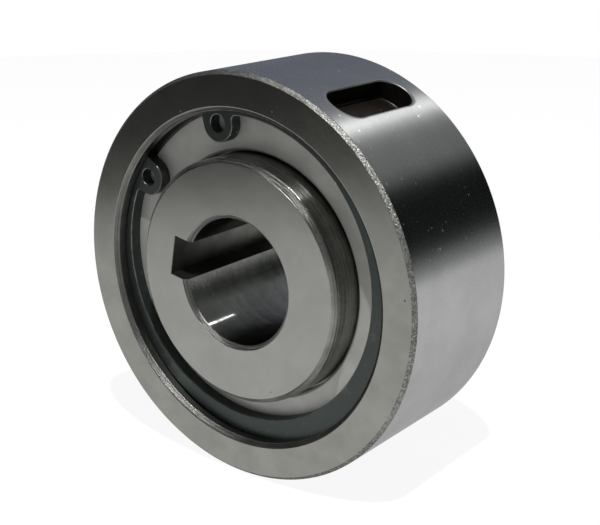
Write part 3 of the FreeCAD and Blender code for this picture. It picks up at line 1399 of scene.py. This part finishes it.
@dataclass
class Studio:
    """Floor, reflected surroundings, lamp and camera.

    The skyline's, the sky's and the card's soft edges are in degrees round their own axes, and the
    lamp's glow is bounded by the parts of the direction.
    """

    floor_z: float = -0.040
    floor_radius: float = 0.62
    floor_tone: Colour = (0.96, 0.96, 0.96)
    floor_glow: float = 0.90
    daylight: float = 0.45
    shell_radius: float = 1.6
    low_sky: Colour = (0.31, 0.325, 0.32)
    high_sky: Colour = (0.35, 0.375, 0.45)
    skyline: Colour = (0.009, 0.013, 0.011)
    skyline_foot: Flat = (1.5, 4.5)
    skyline_top: Flat = (52.0, 40.0)
    sky_turn: Flat = (75.0, 115.0)
    lamp_glow: Colour = (0.075, 0.077, 0.072)
    glow_front: Flat = (0.05, -0.15)
    glow_foot: Flat = (-0.03, 0.03)
    glow_top: Flat = (0.98, 0.90)
    card_tone: Colour = (0.035, 0.036, 0.033)
    card_radius: float = 0.25
    card_height: float = 0.5
    card_aside: float = 0.035
    card_left: Flat = (-176.0, -160.0)
    card_right: Flat = (-104.0, -122.0)
    card_top: Flat = (0.0, -0.12)
    lens: float = 71.75
    sensor: float = 36.0
    nearest: float = 0.005
    eye: Point = (0.141456, -0.178728, 0.072218)
    right: Point = (0.78998513, 0.613126, 0.0)
    up: Point = (-0.18537022, 0.23884114, 0.95320134)
    back: Point = (0.58443252, -0.75301489, 0.30233625)

    def camera(self) -> None:
        """Create the camera at the photograph's place."""
        data = bpy.data.cameras.new("camera")
        data.lens = self.lens
        data.sensor_width = self.sensor
        data.clip_start = self.nearest
        made = bpy.data.objects.new("camera", data)
        rows = [[self.right[k], self.up[k], self.back[k], self.eye[k]] for k in range(3)]
        made.matrix_world = Matrix(rows + [[0.0, 0.0, 0.0, 1.0]])
        bpy.context.scene.collection.objects.link(made)
        bpy.context.scene.camera = made

    def seen_directly(self, bench: Bench) -> Wire:
        """Tell the rays that show the background.

        Args:
            bench: the material or world that asks.

        Returns:
            1 for camera, glossy and transmission rays, and 0 for others.
        """
        path = bench.node("ShaderNodeLightPath", {}, {})
        names = ("Is Camera Ray", "Is Glossy Ray", "Is Transmission Ray")
        camera, glossy, through = (Wire(bench, path.outputs[name]) for name in names)
        return (camera + glossy + through).least(1.0)

    def world(self) -> None:
        """A white world that lights the floor at a plain level."""
        made = bpy.data.worlds.new("world")
        bpy.context.scene.world = made
        made.use_nodes = True
        bench = Bench(made.node_tree)
        strength = self.daylight + self.seen_directly(bench) * (1 - self.daylight)
        inputs = {"Color": (1.0, 1.0, 1.0), "Strength": strength}
        bench.close(bench.node("ShaderNodeBackground", {}, inputs), "ShaderNodeOutputWorld")

    def floor(self) -> None:
        """A pale floor that keeps a soft shadow."""
        bpy.ops.mesh.primitive_circle_add(
            vertices=96, radius=self.floor_radius, fill_type="NGON", location=(0.0, 0.0, self.floor_z)
        )
        made = bpy.context.object
        bench = painted(made, "floor")
        plain = bench.node("ShaderNodeBsdfDiffuse", {}, {"Color": self.floor_tone})
        share = self.seen_directly(bench) * self.floor_glow
        bench.close(bench.blend(share, plain, bench.glow((1.0, 1.0, 1.0))))

    def surroundings(self) -> None:
        """A wide shell that only shows in the metal: sky, a dark skyline, and light near the lamp."""
        bpy.ops.mesh.primitive_uv_sphere_add(
            segments=64, ring_count=32, radius=self.shell_radius, location=(0.0, 0.0, 0.0)
        )
        made = bpy.context.object
        bench = painted(made, "surroundings")
        only_glossy(made)
        inputs = {0: bench.own_point()}
        toward = bench.node("ShaderNodeVectorMath", {"operation": "NORMALIZE"}, inputs)
        x, y, z = bench.parts(toward.outputs[0])
        roll = z.angle_to(x)
        wall = roll.rise(*self.skyline_foot) * roll.rise(*self.skyline_top)
        sky = bench.mix(roll.rise(*self.sky_turn), self.low_sky, self.high_sky)
        near = y.rise(*self.glow_front) * z.rise(*self.glow_foot) * z.rise(*self.glow_top)
        colour = bench.mix(near, bench.mix(wall, sky, self.skyline), self.lamp_glow)
        bench.close(bench.glow(colour))

    def dark_card(self) -> None:
        """A dark standing card in front on the left that only shows in the metal, with soft edges."""
        middle = self.floor_z + self.card_height / 2
        bpy.ops.mesh.primitive_cylinder_add(
            vertices=96, radius=self.card_radius, depth=self.card_height, end_fill_type="NOTHING",
            location=(self.card_aside, 0.0, middle)
        )
        made = bpy.context.object
        bench = painted(made, "dark_card")
        only_glossy(made)
        x, y, z = bench.parts(bench.own_point())
        side = x.angle_to(y)
        there = side.rise(*self.card_right) * side.rise(*self.card_left) * z.rise(*self.card_top)
        clear = bench.node("ShaderNodeBsdfTransparent", {}, {})
        bench.close(bench.blend(there, clear, bench.glow(self.card_tone)))

    def lamp(
        self, name: str, azimuth: float, elevation: float, size: Flat, power: float, far: float = 1.0
    ) -> None:
        """Hang an area lamp that points at the clutch.

        Args:
            name: the lamp's name.
            azimuth: from +Y towards +X, in degrees.
            elevation: above the horizon, in degrees.
            size: width and height in metres.
            power: in watts.
            far: its distance in metres.
        """
        data = bpy.data.lights.new(name, "AREA")
        data.shape = "RECTANGLE"
        data.size, data.size_y = size
        data.energy = power
        made = bpy.data.objects.new(name, data)
        a, e = math.radians(azimuth), math.radians(elevation)
        direction = Vector((math.sin(a) * math.cos(e), math.cos(a) * math.cos(e), math.sin(e)))
        made.location = direction * far
        made.rotation_mode = "QUATERNION"
        made.rotation_quaternion = direction.to_track_quat("Z", "Y")
        made.visible_camera = False
        bpy.context.scene.collection.objects.link(made)

    def build(self) -> None:
        """Set up the whole studio."""
        self.camera()
        self.world()
        self.floor()
        self.surroundings()
        self.dark_card()
        self.lamp("sunlike", azimuth=142.6, elevation=64.6, size=(0.022, 0.022), power=11.0)
        bpy.context.scene.view_settings.view_transform = "Standard"


def painted(piece: bpy.types.Object, name: str) -> Bench:
    """Name a stage piece and give it a material of its own.

    Args:
        piece: the piece.
        name: its name.

    Returns:
        The bench that fills the material.
    """
    piece.name = name
    paint, bench = empty_material(f"{name}_paint")
    piece.data.materials.append(paint)
    return bench


def only_glossy(piece: bpy.types.Object) -> None:
    """Let a painted stage piece show in reflections and nowhere else.

    Args:
        piece: the piece.
    """
    piece.active_material.cycles.emission_sampling = "NONE"
    piece.visible_camera = False
    piece.visible_diffuse = False
    piece.visible_transmission = False
    piece.visible_volume_scatter = False
    piece.visible_shadow = False


# Assembly


def settle(piece: bpy.types.Object, body: str, node: str) -> None:
    """Put a machined piece on its body in place of its node.

    Args:
        piece: the piece.
        body: the body that it moves with.
        node: the node that it stands for.
    """
    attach(piece, body)
    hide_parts(node)
    log.info("%s stands for %s on body %s", piece.name, node, body)


def dress_inside() -> None:
    """Give the sprags, rollers, cage and springs between the races their finishes."""
    finishes = {
        "sprag_cage": Steel("cage_steel", (0.30, 0.29, 0.26), roughness=0.38, uneven=0.08),
        "sprag": Steel("sprag_steel", (0.42, 0.42, 0.41), roughness=0.20, uneven=0.05),
        "roller": Steel("roller_steel", (0.45, 0.45, 0.44), roughness=0.14, uneven=0.04),
        "garter_spring": FINISHES[Skin.SPRING],
    }
    for name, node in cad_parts.items():
        part = next((part for part in finishes if part in name), None)
        if part is None:
            continue
        for place in node.material_slots:
            place.material = material_of(finishes[part])
        log.info("%s is dressed as %s", name, part)


def main() -> None:
    """Build and dress the clutch, then set up the studio."""
    logging.basicConfig(level=logging.INFO, format="%(name)s: %(message)s")
    sizes = Sizes()
    settle(OuterRing(sizes).build(), "outer", "outer_ring")
    settle(InnerRing(sizes).build(), "inner", "inner_ring")
    for side, end in ((-1, "front"), (1, "rear")):
        cover = EndCover(sizes).build(side, f"{end}_cover_turned")
        settle(cover, "outer", f"{end}_cover")
        clip = Circlip(sizes).build(side, f"{end}_circlip_stamped")
        settle(clip, "outer", f"{end}_circlip")
    dress_inside()
    Studio().build()


if __name__ == "__main__":
    main()
